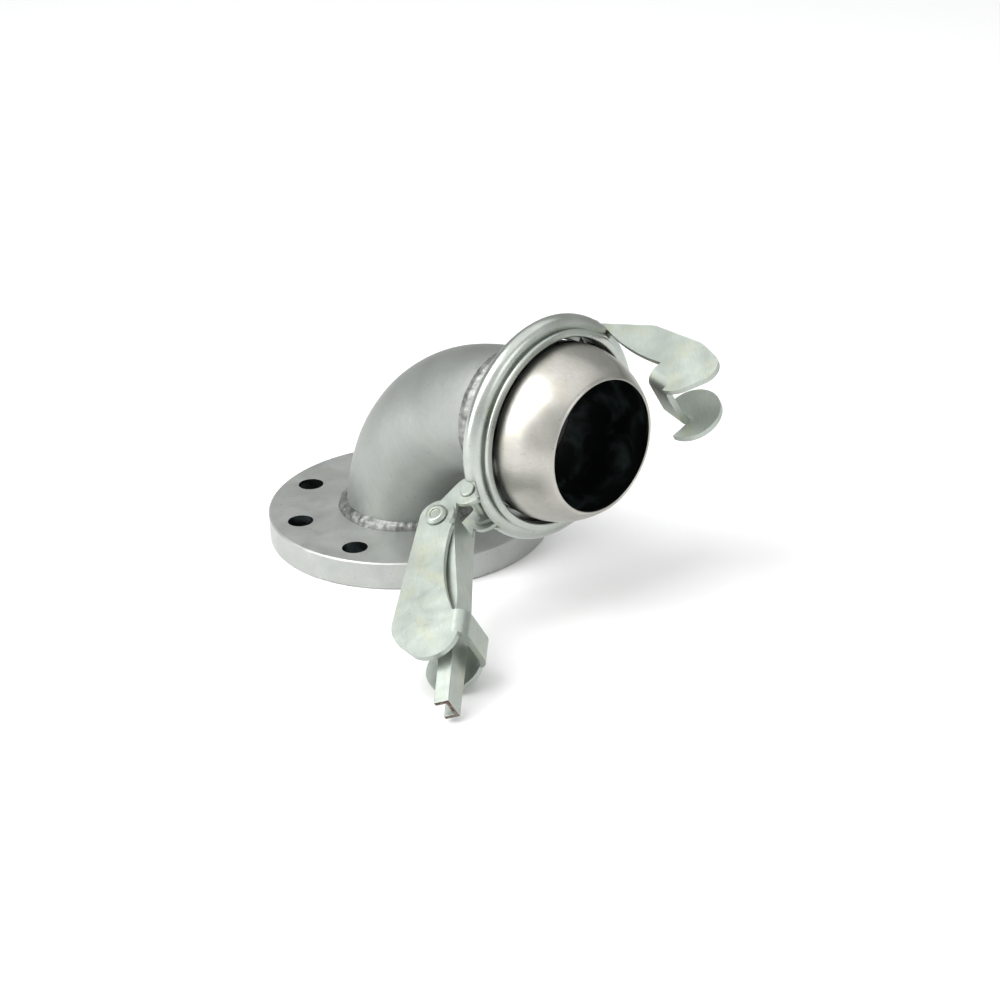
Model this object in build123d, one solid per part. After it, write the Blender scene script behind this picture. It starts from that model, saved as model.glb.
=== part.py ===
from build123d import *
import math
import os

# Flanged pipe bend with a ball coupling end, in millimetres.
# Origin: centre of the flange's sealing face. +Z runs up the flange axis, +X out of the ball.

# Flange
FLANGE_DIAMETER = 200.0
FLANGE_THICKNESS = 20.0
BOLT_EDGE_DISTANCE = 20.0
BOLT_HOLE_DIAMETER = 18.0
BOLT_COUNT = 8
BOLT_TURN = 19.4
FLANGE_EDGE = 1.0

# Pipe bend
PIPE_DIAMETER = 88.9
PIPE_WALL = 3.2
BEND_RADIUS = 114.3
BEND_END_HEIGHT = 5.0
BEND_TRIM = 3.0
SOCKET_GAP = 0.3
NECK_LENGTH = 10.5

# Ball
BALL_RADIUS = 60.4
BALL_WALL = 2.6
NECK_SHOWING = 4.434
MOUTH_RADIUS = 46.6
MOUTH_INNER_RADIUS = 44.9
MOUTH_EDGE = 0.6

# Weld beads
FLANGE_WELD_WIDTH = 6.2
FLANGE_WELD_HEIGHT = 6.6
FLANGE_WELD_CROWN_SHARE = 0.62
INNER_WELD_LEG = 3.0
SEAM_WELD_WIDTH = 7.0
SEAM_WELD_CROWN = 1.7
SEAM_WELD_FIT = 0.35
BALL_WELD_RADIUS = 3.4
BALL_WELD_FORWARD = 0.6
BALL_WELD_OUTWARD = 0.8

# Closure ring, a pressed channel with a rounded bead and a front lip
RING_SHEET = 2.8
BEAD_BEHIND_BALL_CENTRE = 10.3
BEAD_OUT_OF_BALL = 10.4
BEAD_RADIUS = 6.8
SKIRT_AHEAD_OF_BALL_CENTRE = 0.9
SKIRT_GAP = 3.6
LIP_HEIGHT = 5.4
RING_DEPTH = 18.2
RING_SEAT_GAP = 0.4
WINDOW_GAP = 1.2
LEVER_WINDOW_RUN = 11.0

# Stations on the ring: direction of each in the plane across the outlet axis
LEVER_STATION = 211.0
CLAW_STATION = LEVER_STATION - 180
PIN_RADIUS = 4.0
PIN_FIT = 0.05
PIN_HEAD_RADIUS = 5.4
PIN_HEAD_HEIGHT = 1.2
FORMED_HEAD_CHAMFER_SHARE = 0.6
SIDE_GAP = 0.35
LUG_THICKNESS = 3.5
LUG_WALL = 4.0

# Hand lever, a pressed channel bar hung on the ring by two ears
LEVER_PIN_BEHIND_BEAD = 8.0
LEVER_PIN_OUT_OF_BEAD = 1.2
LEVER_ANGLE = 53.0
LEVER_LENGTH = 164.0
LEVER_SHEET = 3.0
EAR_RADIUS = 11.5
EAR_HALF_WIDTH = 15.5
WAIST_ALONG = 82.0
WAIST_HALF_WIDTH = 11.0
TIP_HALF_WIDTH = 9.0
FRONT_AT_EAR = 7.8
FRONT_AT_WAIST = 4.2
FRONT_AT_TIP = 6.3
BAR_DEPTH = 10.0
WEB_START = 17.0

# Rivet that carries the lever's claw, off the lever's hinge so that it pulls over centre
RIVET_ALONG = 19.5
RIVET_BACK = 19.2
RIVET_BOSS_RADIUS = 12.0
RIVET_RADIUS = 5.0
RIVET_HEAD_RADIUS = 7.8
RIVET_HEAD_HEIGHT = 3.2
RIVET_DIMPLE_RADIUS = 3.4
RIVET_DIMPLE_DEPTH = 1.2
WASHER_RADIUS = 8.1
WASHER_THICKNESS = 1.6

# Claws, each one pressing with a long cheek, a strap across and a short tongue
CLAW_SHEET = 4.0
CLAW_HALF_GAP = EAR_HALF_WIDTH + SIDE_GAP
CLAW_BEND_RADIUS = 9.0
CLAW_LOOP_WIDTH = 34.0
LEVER_CLAW_ANGLE = 56.0
LEVER_CLAW_END_RADIUS = 12.4
RING_CLAW_ANGLE = -14.0
RING_CLAW_END_RADIUS = 8.0
RING_CLAW_PIN_BEHIND_BEAD = 5.0
RING_CLAW_PIN_INSIDE_BEAD = 3.3
NECK_ROOM_START = 4.6

# Heights, ends and spans worked out from the sizes above
OUTLET_HEIGHT = BEND_END_HEIGHT + BEND_RADIUS
PIPE_RADIUS = PIPE_DIAMETER / 2
PIPE_BORE_RADIUS = PIPE_RADIUS - PIPE_WALL
SEAM_X = BEND_RADIUS - BEND_TRIM
SOCKET_RADIUS = PIPE_RADIUS + SOCKET_GAP
BOLT_CIRCLE = FLANGE_DIAMETER - 2 * BOLT_EDGE_DISTANCE
BALL_REAR = SEAM_X + NECK_SHOWING
BALL_CENTRE = BALL_REAR + math.sqrt(BALL_RADIUS**2 - SOCKET_RADIUS**2)
MOUTH_X = BALL_CENTRE + math.sqrt(BALL_RADIUS**2 - MOUTH_RADIUS**2)
BEAD_CENTRE = BALL_CENTRE - BEAD_BEHIND_BALL_CENTRE
BEAD_PITCH_RADIUS = BALL_RADIUS + BEAD_OUT_OF_BALL
SKIRT_FRONT = BALL_CENTRE + SKIRT_AHEAD_OF_BALL_CENTRE
SKIRT_RADIUS = BALL_RADIUS + SKIRT_GAP
RING_REAR = SKIRT_FRONT - RING_DEPTH
LEVER_PIN_X = BEAD_CENTRE - LEVER_PIN_BEHIND_BEAD
LEVER_PIN_RADIUS = BEAD_PITCH_RADIUS + LEVER_PIN_OUT_OF_BEAD
RING_CLAW_PIN_X = BEAD_CENTRE - RING_CLAW_PIN_BEHIND_BEAD
RING_CLAW_PIN_RADIUS = BEAD_PITCH_RADIUS - RING_CLAW_PIN_INSIDE_BEAD
EAR_END = RIVET_ALONG + RIVET_BOSS_RADIUS
CLAW_OUTSIDE = CLAW_HALF_GAP + CLAW_SHEET
TONGUE_INSIDE = CLAW_LOOP_WIDTH - CLAW_HALF_GAP
TONGUE_OUTSIDE = TONGUE_INSIDE + CLAW_SHEET
PIN_END_ROOM = PIN_HEAD_HEIGHT + SIDE_GAP

Z_AXIS = Axis((0, 0, 0), (0, 0, 1))
OUTLET_AXIS = Axis((0, 0, OUTLET_HEIGHT), (1, 0, 0))
# Sections round the outlet are drawn with x along the axis and y as the radius.
OUTLET_SECTION = Plane(origin=(0, 0, OUTLET_HEIGHT), x_dir=(1, 0, 0), z_dir=(0, -1, 0))
UPRIGHT_SECTION = Plane(origin=(0, 0, 0), x_dir=(1, 0, 0), z_dir=(0, -1, 0))


def station(angle):
    """Place of a ring station: x along the outlet, y outward, z along the ring's tangent."""
    turn = math.radians(angle)
    tangent = (0, -math.sin(turn), math.cos(turn))
    return Plane(origin=(0, 0, OUTLET_HEIGHT), x_dir=(1, 0, 0), z_dir=tangent).location


def on_pin(angle, x, radius, turn=0.0):
    """Place of a pivot at a station, turned so that x runs along the hung piece."""
    return station(angle) * Location((x, radius, 0), (0, 0, turn))


def disc(radius, start, end, centre=(0, 0)):
    """Round bar along z from start to end."""
    return Pos(centre[0], centre[1], start) * extrude(Circle(radius), end - start)


def plate(outline, start, end):
    """Plate of an outline along z from start to end."""
    return Pos(0, 0, start) * extrude(outline, end - start)


def round_outlet(section):
    """Turn a section drawn as (x, radius) about the outlet axis."""
    return revolve(OUTLET_SECTION * section, OUTLET_AXIS, 360)


def round_flange(section):
    """Turn a section drawn as (radius, z) about the flange axis."""
    return revolve(UPRIGHT_SECTION * section, Z_AXIS, 360)


def bend_solid(radius):
    """Quarter bend of a solid bar of the given radius, from the flange to the seam."""
    axis = Axis((BEND_RADIUS, 0, BEND_END_HEIGHT), (0, 1, 0))
    quarter = revolve(Pos(0, 0, BEND_END_HEIGHT) * Circle(radius), axis, 90)
    reach = BEND_RADIUS + PIPE_DIAMETER
    trim = Box(reach, reach, 2 * reach, align=(Align.MIN, Align.CENTER, Align.CENTER))
    return quarter - Pos(SEAM_X, 0, OUTLET_HEIGHT) * trim


def make_flange():
    """Plate flange with a bore for the bend and a circle of bolt holes."""
    body = disc(FLANGE_DIAMETER / 2, 0, FLANGE_THICKNESS)
    body -= disc(SOCKET_RADIUS, 0, FLANGE_THICKNESS)
    body -= bend_solid(SOCKET_RADIUS)
    for index in range(BOLT_COUNT):
        angle = math.radians(BOLT_TURN + index * 360 / BOLT_COUNT)
        centre = (BOLT_CIRCLE / 2 * math.cos(angle), BOLT_CIRCLE / 2 * math.sin(angle))
        body -= disc(BOLT_HOLE_DIAMETER / 2, 0, FLANGE_THICKNESS, centre)
    rims = body.edges().filter_by(GeomType.CIRCLE)
    rims = rims.filter_by(lambda edge: edge.radius > BOLT_CIRCLE / 2)
    return chamfer(rims, FLANGE_EDGE)


def make_elbow():
    """Long-radius 90 degree bend."""
    return bend_solid(PIPE_RADIUS) - bend_solid(PIPE_BORE_RADIUS)


def make_neck():
    """Short tube between the bend and the ball."""
    centre = SEAM_X + NECK_LENGTH / 2
    middle = (PIPE_RADIUS + PIPE_BORE_RADIUS) / 2
    return round_outlet(Pos(centre, middle) * Rectangle(NECK_LENGTH, PIPE_WALL))


def ball_body(radius):
    """Solid ball of a radius about the ball centre."""
    return Pos(BALL_CENTRE, 0, OUTLET_HEIGHT) * Sphere(radius)


def outlet_bar(radius, start, end):
    """Solid round bar on the outlet axis."""
    middle = (start + end) / 2
    return round_outlet(Pos(middle, radius / 2) * Rectangle(end - start, radius))


def make_ball():
    """Hollow spherical zone, open at the mouth and seated on the neck behind."""
    shell = ball_body(BALL_RADIUS) - ball_body(BALL_RADIUS - BALL_WALL)
    shell -= outlet_bar(SOCKET_RADIUS, SEAM_X - BALL_RADIUS, BALL_CENTRE)
    shell -= outlet_bar(BALL_RADIUS, MOUTH_X, MOUTH_X + BALL_RADIUS)
    shell -= outlet_bar(MOUTH_INNER_RADIUS, BALL_CENTRE, MOUTH_X)
    rim = shell.edges().filter_by(GeomType.CIRCLE)
    rim = rim.filter_by(lambda edge: edge.center().X > MOUTH_X - MOUTH_EDGE)
    return fillet(rim, MOUTH_EDGE)


def make_flange_weld():
    """Convex fillet weld between the flange's top face and the bend."""
    root = PIPE_RADIUS - PIPE_WALL / 2
    toe = PIPE_RADIUS + FLANGE_WELD_WIDTH
    top = FLANGE_THICKNESS + FLANGE_WELD_HEIGHT
    out = FLANGE_WELD_CROWN_SHARE * FLANGE_WELD_WIDTH
    up = FLANGE_WELD_CROWN_SHARE * FLANGE_WELD_HEIGHT
    crown = (PIPE_RADIUS + out, FLANGE_THICKNESS + up)
    edge = ThreePointArc((toe, FLANGE_THICKNESS), crown, (PIPE_RADIUS, top))
    foot = Polyline((PIPE_RADIUS, top), (root, top), (root, FLANGE_THICKNESS), (toe, FLANGE_THICKNESS))
    return round_flange(make_face([edge, *foot.edges()])) - bend_solid(PIPE_RADIUS)


def make_inner_weld():
    """Fillet weld inside the flange bore, under the end of the bend."""
    corner = (SOCKET_RADIUS, BEND_END_HEIGHT)
    low = (SOCKET_RADIUS, BEND_END_HEIGHT - INNER_WELD_LEG)
    inside = (SOCKET_RADIUS - INNER_WELD_LEG, BEND_END_HEIGHT)
    return round_flange(make_face(Polyline(corner, low, inside, close=True)))


def make_seam_weld():
    """Butt weld bead round the joint of the bend and the neck."""
    half = SEAM_WELD_WIDTH / 2
    foot = PIPE_RADIUS + SEAM_WELD_FIT
    start, end = (SEAM_X - half, foot), (SEAM_X + half, foot)
    crown = ThreePointArc(start, (SEAM_X, PIPE_RADIUS + SEAM_WELD_CROWN), end)
    return round_outlet(make_face([crown, Line(end, start)]))


def make_ball_weld():
    """Fillet weld bead in the corner behind the ball."""
    centre = Pos(BALL_REAR + BALL_WELD_FORWARD, SOCKET_RADIUS + BALL_WELD_OUTWARD)
    bead = round_outlet(centre * Circle(BALL_WELD_RADIUS))
    bead -= ball_body(BALL_RADIUS)
    bead -= outlet_bar(SOCKET_RADIUS, SEAM_X, BALL_CENTRE)
    return bead - outlet_bar(BALL_RADIUS, SEAM_X - BEND_RADIUS / 2, SEAM_X + SEAM_WELD_WIDTH / 2)


def ring_section():
    """Section of the closure ring: rounded bead, front skirt with a lip, and rear seat flange."""
    outer = Pos(BEAD_CENTRE, BEAD_PITCH_RADIUS) * Circle(BEAD_RADIUS)
    inner = Pos(BEAD_CENTRE, BEAD_PITCH_RADIUS) * Circle(BEAD_RADIUS - RING_SHEET)
    throat = Rectangle(2 * (BEAD_RADIUS - RING_SHEET), BEAD_RADIUS, align=(Align.CENTER, Align.MAX))
    bead = outer - inner - Pos(BEAD_CENTRE, BEAD_PITCH_RADIUS) * throat
    skirt_start = BEAD_CENTRE + BEAD_RADIUS - RING_SHEET
    skirt = Rectangle(SKIRT_FRONT - skirt_start, RING_SHEET, align=(Align.MIN, Align.MIN))
    lip = Rectangle(RING_SHEET, LIP_HEIGHT, align=(Align.MAX, Align.MIN))
    wall_height = BEAD_PITCH_RADIUS - SKIRT_RADIUS
    wall = Rectangle(RING_SHEET, wall_height, align=(Align.MIN, Align.MIN))
    seat_height = BEAD_PITCH_RADIUS - BALL_RADIUS + 2 * RING_SHEET
    seat = Rectangle(RING_SHEET, seat_height, align=(Align.MIN, Align.MAX))
    section = bead + Pos(skirt_start, SKIRT_RADIUS) * (skirt + wall)
    section += Pos(SKIRT_FRONT, SKIRT_RADIUS) * lip
    return section + Pos(RING_REAR, BEAD_PITCH_RADIUS) * seat


def make_ring():
    """Closure ring with a seat that follows the back of the ball and two hinge windows."""
    ring = round_outlet(ring_section()) - ball_body(BALL_RADIUS + RING_SEAT_GAP)
    side = EAR_HALF_WIDTH + PIN_END_ROOM
    lever_window = disc(EAR_RADIUS + WINDOW_GAP, -side - LEVER_WINDOW_RUN, side)
    ring -= on_pin(LEVER_STATION, LEVER_PIN_X, LEVER_PIN_RADIUS) * lever_window
    hinge = on_pin(CLAW_STATION, RING_CLAW_PIN_X, RING_CLAW_PIN_RADIUS, RING_CLAW_ANGLE)
    return ring - hinge * claw_window()


def claw_window():
    """Room in the ring for the second claw's hinge, and the slot that its neck swings through."""
    inner, outer = claw_inner_lug(), claw_outer_lug()
    hole = disc(RING_CLAW_END_RADIUS + WINDOW_GAP, inner[0] - PIN_END_ROOM, outer[1] + PIN_END_ROOM)
    bead = math.hypot(BEAD_CENTRE - RING_CLAW_PIN_X, BEAD_PITCH_RADIUS - RING_CLAW_PIN_RADIUS)
    reach = bead + BEAD_RADIUS + WINDOW_GAP
    half = Pos(0, NECK_ROOM_START) * Rectangle(2 * reach, reach, align=(Align.CENTER, Align.MIN))
    return hole + plate(Circle(reach) & half, inner[1], outer[0])


def claw_inner_lug():
    """Start and end of the lug inside the ring claw's cheek."""
    face = CLAW_HALF_GAP - SIDE_GAP
    return face - LUG_THICKNESS, face


def claw_outer_lug():
    """Start and end of the lug outside the ring claw's cheek."""
    face = CLAW_OUTSIDE + SIDE_GAP
    return face, face + LUG_THICKNESS


def lever_lug_spans():
    """Start and end of each lug just inside the lever's ears."""
    face = EAR_HALF_WIDTH - LEVER_SHEET - SIDE_GAP
    return [(LUG_THICKNESS - face, -face), (face - LUG_THICKNESS, face)]


def lug(x, radius, start, end):
    """Hinge lug from a pin down to the ring's skirt."""
    outer = max(abs(start), abs(end))
    seat = math.sqrt(SKIRT_RADIUS**2 - outer**2)
    foot = (BEAD_CENTRE + BEAD_RADIUS - LUG_WALL, seat + LUG_WALL, LUG_WALL)
    outline = hull_of((x, radius, PIN_RADIUS + LUG_WALL), foot) - Pos(x, radius) * Circle(PIN_RADIUS)
    return plate(outline, *sorted((start, end)))


def make_lugs(angle, x, radius, spans, ring):
    """Pair of hinge lugs at a station, cut to seat on the ring."""
    clear = ball_body(BALL_RADIUS + RING_SEAT_GAP)
    pair = [station(angle) * lug(x, radius, start, end) - ring - clear for start, end in spans]
    return Compound(children=[largest(piece) for piece in pair])


def largest(shape):
    """Largest solid of a shape that a cut left in pieces."""
    return max(shape.solids(), key=lambda solid: solid.volume)


def make_pin(angle, x, radius, start, end):
    """Hinge pin with a formed head at both ends."""
    bar = disc(PIN_RADIUS, start, end)
    bar += disc(PIN_HEAD_RADIUS, start - PIN_HEAD_HEIGHT, start)
    bar += disc(PIN_HEAD_RADIUS, end, end + PIN_HEAD_HEIGHT)
    rims = bar.edges().filter_by(GeomType.CIRCLE)
    rims = rims.filter_by(lambda edge: not start <= edge.center().Z <= end)
    return on_pin(angle, x, radius) * chamfer(rims, FORMED_HEAD_CHAMFER_SHARE * PIN_HEAD_HEIGHT)


def hull_of(*circles):
    """Outline drawn tight round circles given as (x, y, radius)."""
    edges = ShapeList()
    for x, y, radius in circles:
        edges += (Pos(x, y) * Circle(radius)).edges()
    return make_hull(edges)


def lever_side():
    """Side outline of the lever: ear, rivet boss and bar."""
    ahead = Pos(0, FRONT_AT_EAR) * Rectangle(LEVER_LENGTH, LEVER_LENGTH, align=(Align.CENTER, Align.MAX))
    head = hull_of((0, 0, EAR_RADIUS), (RIVET_ALONG, RIVET_BACK, RIVET_BOSS_RADIUS)) - ahead
    head += Circle(EAR_RADIUS)
    bar = Polyline(
        (0, FRONT_AT_EAR),
        (EAR_END, FRONT_AT_EAR),
        (WAIST_ALONG, FRONT_AT_WAIST),
        (LEVER_LENGTH, FRONT_AT_TIP),
        (LEVER_LENGTH, FRONT_AT_TIP + BAR_DEPTH),
        (WAIST_ALONG, FRONT_AT_WAIST + BAR_DEPTH),
        (RIVET_ALONG, RIVET_BACK + RIVET_BOSS_RADIUS),
        close=True,
    )
    return head + make_face(bar)


def lever_plan(inset):
    """Plan outline of the lever, drawn as (along, across), less an inset on both sides."""
    ear = EAR_HALF_WIDTH - inset
    waist = WAIST_HALF_WIDTH - inset
    tip = TIP_HALF_WIDTH - inset
    near = [(-2 * EAR_RADIUS, ear), (EAR_END, ear), (WAIST_ALONG, waist), (LEVER_LENGTH, tip)]
    far = [(along, -across) for along, across in reversed(near)]
    outline = make_face(Polyline(*near, *far, close=True))
    flat = Plane(origin=(0, 0, 0), x_dir=(1, 0, 0), z_dir=(0, -1, 0))
    return extrude(flat * outline, LEVER_LENGTH, both=True)


def make_lever():
    """Channel bar with its web to the front, open behind, with an ear on each side of the ring."""
    reach = EAR_HALF_WIDTH
    outer = plate(lever_side(), -reach, reach) & lever_plan(0)
    back = 2 * LEVER_LENGTH
    hollow = Polyline(
        (-2 * EAR_RADIUS, -2 * EAR_RADIUS),
        (WEB_START, -2 * EAR_RADIUS),
        (WEB_START, FRONT_AT_EAR + LEVER_SHEET),
        (EAR_END, FRONT_AT_EAR + LEVER_SHEET),
        (WAIST_ALONG, FRONT_AT_WAIST + LEVER_SHEET),
        (LEVER_LENGTH, FRONT_AT_TIP + LEVER_SHEET),
        (LEVER_LENGTH, back),
        (-2 * EAR_RADIUS, back),
        close=True,
    )
    body = outer - (plate(make_face(hollow), -reach, reach) & lever_plan(LEVER_SHEET))
    body -= disc(PIN_RADIUS + PIN_FIT, -reach, reach)
    body -= disc(RIVET_RADIUS, -reach, 0, (RIVET_ALONG, RIVET_BACK))
    return on_pin(LEVER_STATION, LEVER_PIN_X, LEVER_PIN_RADIUS, LEVER_ANGLE) * body


def rivet_place():
    """Place of the claw's rivet on the lever."""
    lever = on_pin(LEVER_STATION, LEVER_PIN_X, LEVER_PIN_RADIUS, LEVER_ANGLE)
    return lever * Location((RIVET_ALONG, RIVET_BACK, 0), (0, 0, LEVER_CLAW_ANGLE - LEVER_ANGLE))


def make_rivet():
    """Rivet with a dimpled head outside the claw's cheek and a closing head inside the ear."""
    outside = -CLAW_OUTSIDE - SIDE_GAP
    inside = -EAR_HALF_WIDTH + LEVER_SHEET + WASHER_THICKNESS
    top = outside - RIVET_HEAD_HEIGHT
    slope = FORMED_HEAD_CHAMFER_SHARE * RIVET_HEAD_HEIGHT
    head = disc(RIVET_HEAD_RADIUS, top, outside)
    head = chamfer(head.edges().group_by(Axis.Z)[0], slope)
    head -= disc(RIVET_DIMPLE_RADIUS, top, top + RIVET_DIMPLE_DEPTH)
    closing = disc(RIVET_HEAD_RADIUS, inside, inside + RIVET_HEAD_HEIGHT)
    closing = chamfer(closing.edges().group_by(Axis.Z)[-1], slope)
    return rivet_place() * (head + disc(RIVET_RADIUS, outside, inside) + closing)


def make_washer():
    """Washer between the ear and the rivet's closing head."""
    start = -EAR_HALF_WIDTH + LEVER_SHEET
    ring = disc(WASHER_RADIUS, start, start + WASHER_THICKNESS)
    return rivet_place() * (ring - disc(RIVET_RADIUS, start, start + WASHER_THICKNESS))


def strap_bends(start, end, front, side):
    """Strap across the claw's front with a rounded bend down to each wall."""
    depth = 4 * CLAW_BEND_RADIUS
    middle = side * (CLAW_OUTSIDE - TONGUE_OUTSIDE) / 2
    outer = RectangleRounded(depth, CLAW_LOOP_WIDTH + 2 * CLAW_SHEET, CLAW_BEND_RADIUS)
    inner = RectangleRounded(depth, CLAW_LOOP_WIDTH, CLAW_BEND_RADIUS - CLAW_SHEET)
    section = Pos(depth / 2, middle) * outer - Pos(depth / 2 + CLAW_SHEET, middle) * inner
    section &= Rectangle(CLAW_BEND_RADIUS, 2 * TONGUE_OUTSIDE, align=(Align.MIN, Align.CENTER))
    across = Plane(origin=(start, front, 0), x_dir=(0, 1, 0), z_dir=(1, 0, 0))
    return extrude(across * section, end - start)


def wall_root(start, end, front, depth):
    """Straight part of a wall under the strap's bend, and the room that the bend takes."""
    foot = front + CLAW_BEND_RADIUS
    below = (Align.CENTER, Align.MIN)
    root = Pos((start + end) / 2, foot) * Rectangle(end - start, depth - foot, align=below)
    room = Pos((start + end) / 2, foot - 2 * CLAW_BEND_RADIUS) * Rectangle(
        end - start, 2 * CLAW_BEND_RADIUS, align=below
    )
    return root, room


def make_claw(end_radius, lobes, tongue, throat, strap, hole_radius, side):
    """Claw from its pivot at the origin: cheek on one side, strap, and tongue on the other.

    lobes and tongue are circles (x, y, radius), throat is an arc through three points, and
    strap is (start, end, front) along and ahead of the pivot. side is 1 or -1 across.
    """
    start, end, front = strap
    arc = ThreePointArc(*throat)
    ahead = front - 2 * end_radius
    open_side = Polyline(throat[2], (start, ahead), (0, ahead), (0, 0), throat[0])
    mouth = make_face([arc, *open_side.edges()]) - Circle(end_radius)
    cheek_root, room = wall_root(start, end, front, lobes[-2][1])
    tongue_root = wall_root(start, end, front, tongue[1])[0]
    cheek = hull_of((0, 0, end_radius), *lobes) - mouth - room + cheek_root
    bend = Pos(end, front + CLAW_BEND_RADIUS) * Rectangle(end, end, align=(Align.MAX, Align.MAX))
    leaf = Pos(tongue[0], tongue[1]) * Circle(tongue[2]) - bend + tongue_root
    body = strap_bends(start, end, front, side)
    body += plate(cheek, *sorted((side * CLAW_HALF_GAP, side * CLAW_OUTSIDE)))
    body += plate(leaf, *sorted((-side * TONGUE_INSIDE, -side * TONGUE_OUTSIDE)))
    return body - disc(hole_radius, -TONGUE_OUTSIDE, TONGUE_OUTSIDE)


def make_lever_claw():
    """Claw riveted to the lever."""
    body = make_claw(
        LEVER_CLAW_END_RADIUS,
        lobes=[(85.0, -1.0, 22.5), (97.0, -8.0, 18.5)],
        tongue=(95.0, -6.0, 19.5),
        throat=((10.0, -12.0), (49.0, -10.9), (81.0, -20.5)),
        strap=(81.0, 99.0, -30.5),
        hole_radius=RIVET_RADIUS + PIN_FIT,
        side=-1,
    )
    return rivet_place() * body


def make_ring_claw():
    """Claw hinged straight on the ring, fallen against the ball's side."""
    body = make_claw(
        RING_CLAW_END_RADIUS,
        lobes=[(42.0, 14.5, 16.0), (79.0, 16.4, 21.5), (93.0, 23.9, 12.5)],
        tongue=(82.0, 7.0, 20.5),
        throat=((8.5, 7.8), (37.0, 6.4), (66.0, 11.0)),
        strap=(66.0, 86.0, -3.2),
        hole_radius=PIN_RADIUS + PIN_FIT,
        side=1,
    )
    place = on_pin(CLAW_STATION, RING_CLAW_PIN_X, RING_CLAW_PIN_RADIUS, RING_CLAW_ANGLE)
    return place * body


def make_parts():
    """All pieces by node name."""
    ring = make_ring()
    lever_spans = lever_lug_spans()
    lever_side_face = EAR_HALF_WIDTH + SIDE_GAP
    claw_spans = [claw_inner_lug(), claw_outer_lug()]
    lever_pin = (LEVER_STATION, LEVER_PIN_X, LEVER_PIN_RADIUS)
    claw_pin = (CLAW_STATION, RING_CLAW_PIN_X, RING_CLAW_PIN_RADIUS)
    return {
        "flange": make_flange(),
        "elbow": make_elbow(),
        "flange_weld_outer": make_flange_weld(),
        "flange_weld_inner": make_inner_weld(),
        "elbow_seam_weld": make_seam_weld(),
        "neck_tube": make_neck(),
        "ball_shell": make_ball(),
        "ball_weld": make_ball_weld(),
        "closure_ring": ring,
        "lever_lugs": make_lugs(*lever_pin, lever_spans, ring),
        "lever_pin": make_pin(*lever_pin, -lever_side_face, lever_side_face),
        "claw_lugs": make_lugs(*claw_pin, claw_spans, ring),
        "claw_pin": make_pin(*claw_pin, claw_spans[0][0], claw_spans[1][1]),
        "hand_lever": make_lever(),
        "claw_rivet": make_rivet(),
        "rivet_washer": make_washer(),
        "lever_claw": make_lever_claw(),
        "ring_claw": make_ring_claw(),
    }


def main():
    """Write one file for each piece."""
    os.makedirs("parts", exist_ok=True)
    for name, shape in make_parts().items():
        export_step(shape, f"parts/{name}.step")


main()
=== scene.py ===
"""Dress a flanged pipe bend with a lever-lock ball coupling for a studio picture.

Every piece is built in metres in the part's own frame: +Z runs up the flange axis and +X out of
the ball. The finishes are procedural, and each sub-assembly is a class of its own.
"""

import logging
import math
from collections.abc import Callable, Sequence
from dataclasses import dataclass, field
from enum import Enum
from typing import ClassVar

import bmesh
import bpy
from mathutils import Matrix, Vector, noise


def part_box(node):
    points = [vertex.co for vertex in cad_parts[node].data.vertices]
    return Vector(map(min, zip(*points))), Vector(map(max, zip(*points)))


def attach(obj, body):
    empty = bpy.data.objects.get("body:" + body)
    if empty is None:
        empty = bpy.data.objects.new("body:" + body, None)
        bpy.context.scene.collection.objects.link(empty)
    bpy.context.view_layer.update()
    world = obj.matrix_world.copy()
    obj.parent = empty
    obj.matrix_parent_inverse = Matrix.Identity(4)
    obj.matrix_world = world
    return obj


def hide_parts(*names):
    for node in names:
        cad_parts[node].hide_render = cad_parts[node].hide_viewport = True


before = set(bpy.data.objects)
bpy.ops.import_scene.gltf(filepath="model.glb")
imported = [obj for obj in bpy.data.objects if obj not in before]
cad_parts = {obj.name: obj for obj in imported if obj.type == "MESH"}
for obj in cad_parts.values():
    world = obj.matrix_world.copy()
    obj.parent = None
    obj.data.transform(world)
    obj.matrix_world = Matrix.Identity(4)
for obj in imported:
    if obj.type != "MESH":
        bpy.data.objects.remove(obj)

log = logging.getLogger("pipe_bend")

MM = 0.001
MERGE_DISTANCE = 1e-6
FLAT_ANGLE = math.radians(0.5)
PRESSED_EDGE_ANGLE = math.radians(40)
# Places of the colour sockets on a mix node.
MIX_FACTOR, MIX_FIRST, MIX_SECOND, MIX_RESULT = 0, 6, 7, 2
Colour = tuple[float, float, float]
Point2 = tuple[float, float]
Shape = Callable[[Vector, float, float], Vector]


class Slot(Enum):
    """Material slots of the part's record."""

    PLATE = "plate_zinc"
    PIPE = "pipe_zinc"
    BALL = "ball_zinc"
    RING = "ring_zinc"
    LEVER = "lever_zinc"
    WELD = "weld_zinc"


class Body(Enum):
    """Bodies that the pieces ride on."""

    ROOT = "root"
    RING = "ring"
    LEVER = "lever"
    LEVER_CLAW = "lever_claw"
    RING_CLAW = "ring_claw"


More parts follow.
